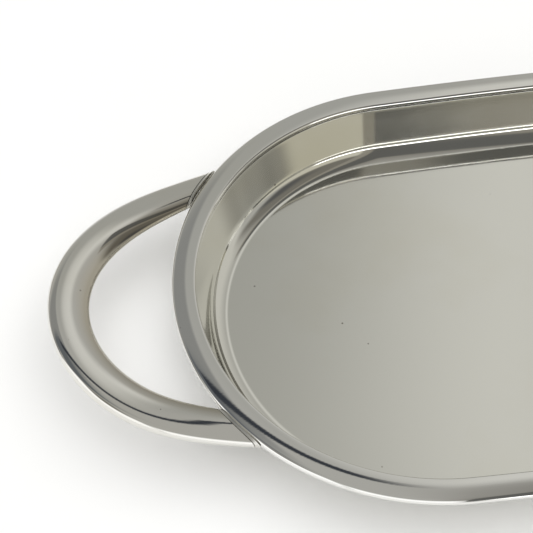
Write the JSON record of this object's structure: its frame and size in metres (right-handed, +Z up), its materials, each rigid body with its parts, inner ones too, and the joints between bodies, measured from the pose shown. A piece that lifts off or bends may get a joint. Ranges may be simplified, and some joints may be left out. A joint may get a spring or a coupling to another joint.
{
  "type": "serving tray",
  "caption": "Oblong polished metal serving tray with round ends, a flared wall, a low rounded rim and a fixed loop handle at each end.",
  "frame": {"origin": "on the table under the middle of the tray, at the centre of the bounding box's bottom face", "axes": "+X along the tray towards the right handle, +Y across the tray towards its rear long side, +Z up"},
  "size_m": [0.504, 0.2328, 0.0342],
  "materials": {
    "pan_metal": "polished, faint handling marks",
    "rim_metal": "bright polished",
    "handle_metal": "polished, softly worn",
    "solder_metal": "duller, tarnished in the seams"
  },
  "bodies": {
    "root": {"pan": "pan_metal", "rim_moulding": "rim_metal", "handle_left": "handle_metal", "handle_right": "handle_metal", "saddle_left_front": "solder_metal", "saddle_left_rear": "solder_metal", "saddle_right_front": "solder_metal", "saddle_right_rear": "solder_metal"}
  },
  "joints": []
}
